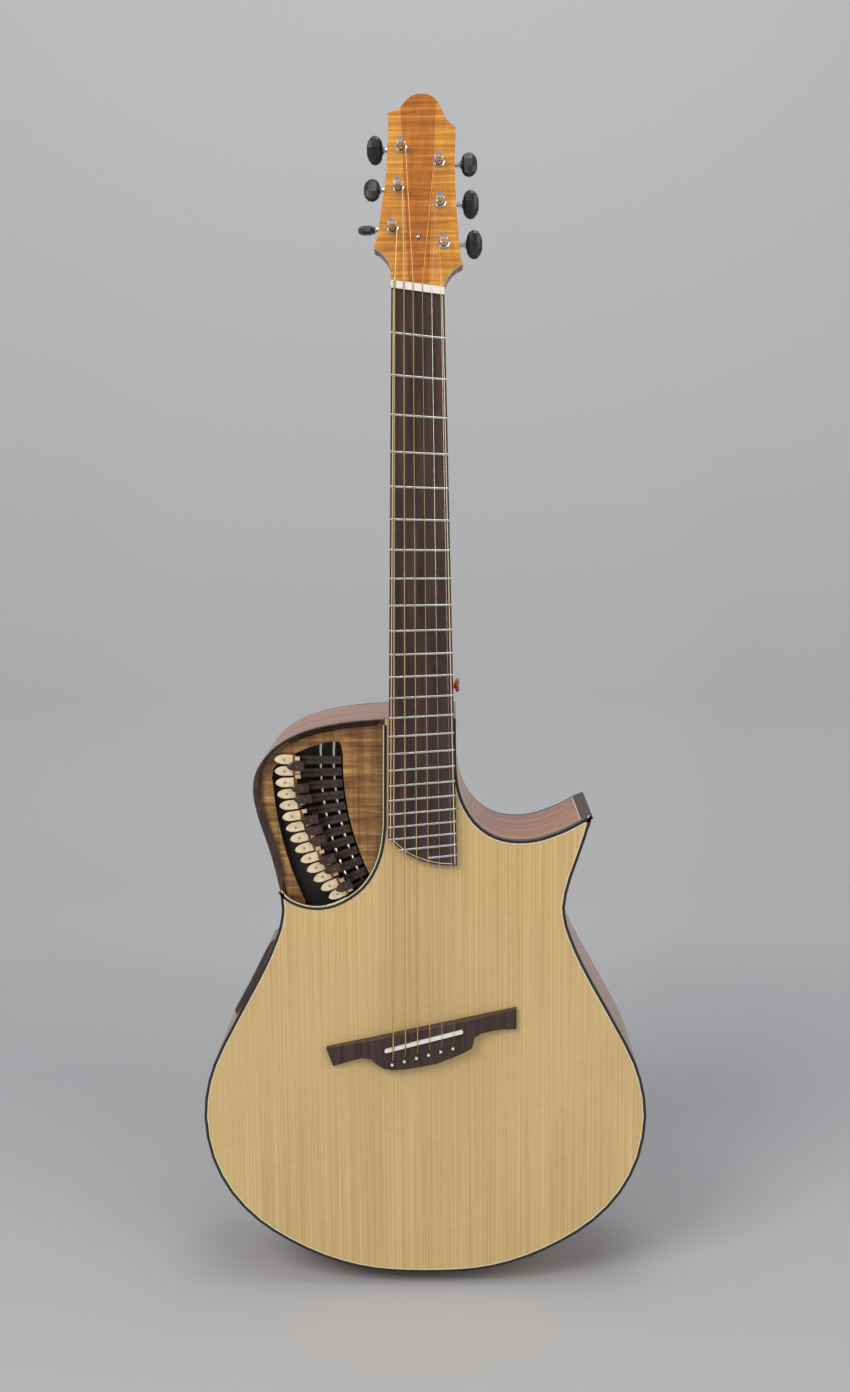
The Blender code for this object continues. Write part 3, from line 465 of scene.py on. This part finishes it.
def make_binding():
    edge = smooth(LOWER, 2) + FLANK[1:]
    left = [(-x, up) for x, up in reversed(smooth(LOWER, 2))]
    around = [(-125.4, 356)] + left[:-1] + edge
    notch = smooth(CUTAWAY, 2)
    scoop = [(-31.8, 505)] + list(reversed(smooth(SCOOP, 2)))
    black, cream = bmesh.new(), bmesh.new()
    for path in (around, notch):
        add_ribbon(black, path, 0.05, 2.6, -0.12, 0.5)
        add_ribbon(cream, path, 2.6, 3.5, -0.12, 0.5)
    add_ribbon(black, scoop, -0.6, 1.9, -0.12, 0.5)
    add_ribbon(cream, scoop, -1.5, -0.6, -0.12, 0.5)
    make_piece("body_binding", black, BINDING)
    make_piece("body_purfling", cream, CREAM)
    lines = bmesh.new()
    for side, top, bottom in ((-1, 870.5, 407.5), (1, 864.4, 383)):
        path = [(side * (board_half(top) - 1.9), top), (side * (board_half(bottom) - 1.9), bottom)]
        add_ribbon(lines, path, -0.35, 0.35, BOARD_FRONT - 0.1, BOARD_FRONT + 0.3)
    end = smooth([(-board_half(406.5), 406.5)] + BOARD_END + [(board_half(381.9), 381.9)], 3)
    add_ribbon(lines, end[1:-1], 1.4, 2.0, BOARD_FRONT - 0.1, BOARD_FRONT + 0.3)
    make_piece("fingerboard_lines", lines, CREAM)


def make_horn_cap():
    """The dark end of the cutaway's point, with a pale line beside it."""
    cap, line = bmesh.new(), bmesh.new()
    tip, inner, edge = (147.5, 424), (138.0, 420), (137.3, 419.7)
    back = TAIL_DEPTH - NECK_DEPTH_LOSS * tip[1] / BODY_TOP
    add_ribbon(cap, [tip, inner], -0.35, 0.5, 0.1, back - 0.1)
    add_ribbon(cap, [(144.7, 414), tip], -0.35, 0.5, 0.1, back - 0.1)
    add_ribbon(line, [inner, edge], -0.3, 0.5, 5.4, back - 5.0)
    make_piece("horn_cap", cap, ROSEWOOD)
    make_piece("horn_line", line, CREAM)


def make_key_marks():
    """A small brown disc on each light key, painted shade of its dimple, and a dot on each dark one."""
    out = Vector((0, -1, 0))
    lane = 0
    for white in range(WHITE_COUNT):
        share = white / (WHITE_COUNT - 1)
        marks = [("white", WHITE_FIRST + WHITE_PITCH * white, 297.2 - 18.8 * share**2.2 - 8.6, WHITE_TOP)]
        if white in DARKS_AFTER:
            share = (white + 0.5) / (WHITE_COUNT - 1)
            tip = 297.2 - 18.8 * share**2.2 - 10.6 - 5.4 * math.sin(math.pi * share)
            marks.append(("dark", WHITE_FIRST + WHITE_PITCH * (white + 0.5), tip - 9.5, DARK_TOP))
        for kind, degrees, radius, depth in marks:
            lane += 1
            maker = bmesh.new()
            profile = [(-0.3, 1.35), (0.06, 1.3), (0.09, 0.9)] if kind == "white" else [(-0.3, 0.8), (0.1, 0.75)]
            add_turned(maker, profile, on_fan(degrees, radius, depth), out, 14)
            material = DIMPLE_SHADE if kind == "white" else DARK_DOT
            slot = "bone" if kind == "white" else "rosewood"
            make_piece(f"key_mark_{lane:02d}", maker, material, f"key_{lane:02d}", 40)


def make_head_details():
    out = Vector((0, -math.cos(HEAD_TILT), math.sin(HEAD_TILT)))
    ring, dot = bmesh.new(), bmesh.new()
    add_turned(ring, [(-0.4, 2.4), (0.15, 2.4), (0.25, 2.1)], on_head(0.7, 40.8, 0), out, 24)
    add_turned(dot, [(-0.3, 1.3), (0.3, 1.3), (0.42, 1.0)], on_head(0.7, 40.8, 0), out, 24)
    make_piece("head_ring", ring, EBONY, smooth_angle=40)
    make_piece("head_dot", dot, STEEL, smooth_angle=40)
    for side, places in POSTS.items():
        for number, (across, along) in enumerate(places, 1):
            radius = WIRE_RADII[side][number - 1]
            path = []
            for k in range(61):
                turn = 2 * math.pi * k / 20
                reach = 2.5 + radius
                depth = -5.0 - k / 20 * (2.2 * radius)
                path.append(on_head(across + reach * math.cos(turn), along + reach * math.sin(turn), depth))
            maker = bmesh.new()
            add_tube(maker, path, radius * MM, 6)
            wire = WOUND if side == "bass" or number == 1 else PLAIN_WIRE
            make_piece(f"{side}_winding_{number}", maker, wire, f"{side}_post_{number}", 60)


def make_floor_finish():
    """Pale, and clear from its far side, so that a view from behind sees the guitar past it."""
    shade = Shade("pale floor", 0.8)
    behind = shade.node("ShaderNodeNewGeometry", {}, {}, "Backfacing")
    return shade.colour((0.465, 0.47, 0.485, 1.0)).set("Alpha", 1.0 - behind).made


def make_stage():
    floor = bpy.data.meshes.new("floor")
    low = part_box("end_pin")[0][2]
    sweep = [(-1.6, low), (0.5, low), (0.75, low + 0.03), (0.9, low + 0.12), (0.95, low + 0.4), (0.95, low + 2.6)]
    points = [(x, y, z) for y, z in sweep for x in (-3, 3)]
    faces = [(2 * i, 2 * i + 1, 2 * i + 3, 2 * i + 2) for i in range(len(sweep) - 1)]
    floor.from_pydata(points, [], faces)
    floor.shade_smooth()
    floor.materials.append(make_floor_finish())
    obj = bpy.data.objects.new("floor", floor)
    bpy.context.scene.collection.objects.link(obj)
    for name, place, size, power, colour in (
            ("key light", (-1.3, -1.7, 1.2), 1.2, 40, (1.0, 0.97, 0.93)),
            ("fill light", (1.6, -1.6, 0.3), 1.6, 20, (1.0, 0.96, 0.92)),
            ("top light", (0.2, -0.2, 1.5), 1.0, 11, (0.95, 0.98, 1.0))):
        light = bpy.data.lights.new(name, "AREA")
        light.size = size
        light.energy = power
        light.color = colour
        lamp = bpy.data.objects.new(name, light)
        lamp.location = place
        lamp.rotation_euler = (Vector((0, 0, -0.4)) - Vector(place)).to_track_quat("-Z", "Y").to_euler()
        bpy.context.scene.collection.objects.link(lamp)
    world = bpy.data.worlds.new("world")
    world.use_nodes = True
    world.node_tree.nodes["Background"].inputs[0].default_value = (0.8, 0.82, 0.86, 1)
    world.node_tree.nodes["Background"].inputs[1].default_value = 0.4
    bpy.context.scene.world = world
    bpy.context.scene.view_settings.view_transform = "Standard"


def make_camera():
    camera = bpy.data.cameras.new("camera")
    camera.sensor_fit = "VERTICAL"
    camera.sensor_height = 36.0
    camera.lens = PHOTO_FOCUS * 36.0 / PHOTO_HEIGHT
    camera.clip_start = 0.05
    obj = bpy.data.objects.new("camera", camera)
    turn = (Matrix.Rotation(math.radians(0.99), 4, "Z") @ Matrix.Rotation(math.radians(-8.507), 4, "X")
            @ Matrix.Rotation(math.radians(0.46), 4, "Y"))
    look = Matrix(((1, 0, 0, 0), (0, 0, -1, 0), (0, 1, 0, 0), (0, 0, 0, 1)))
    obj.matrix_world = Matrix.Translation((0.02583, -1.31338, -0.14515)) @ turn @ look
    bpy.context.scene.collection.objects.link(obj)
    bpy.context.scene.camera = obj


make_camera()
dress_nodes()
make_frets()
make_pins()
make_binding()
make_horn_cap()
make_key_marks()
make_head_details()
make_stage()
